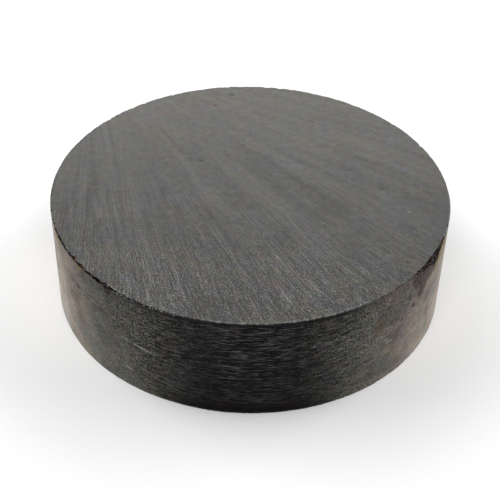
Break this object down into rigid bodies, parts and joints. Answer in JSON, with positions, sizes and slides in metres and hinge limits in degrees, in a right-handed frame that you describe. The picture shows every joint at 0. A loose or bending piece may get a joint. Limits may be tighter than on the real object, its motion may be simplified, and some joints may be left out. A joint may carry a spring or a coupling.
{
  "type": "disc magnet",
  "caption": "Plain flat disc magnet of dark hard ferrite: a short cylinder with two ground faces, a matt round wall and small chips along the upper rim.",
  "frame": {"origin": "centre of the bottom face, the face the disc rests on", "axes": "+Z is the disc's own axis and points out of the upper ground face; the picture looks along +Y, so the chipped near side is towards -Y and +X is to its right"},
  "size_m": [0.035, 0.035, 0.01],
  "materials": {
    "ferrite": "matte"
  },
  "bodies": {
    "root": {"disc_magnet": "ferrite"}
  },
  "joints": []
}
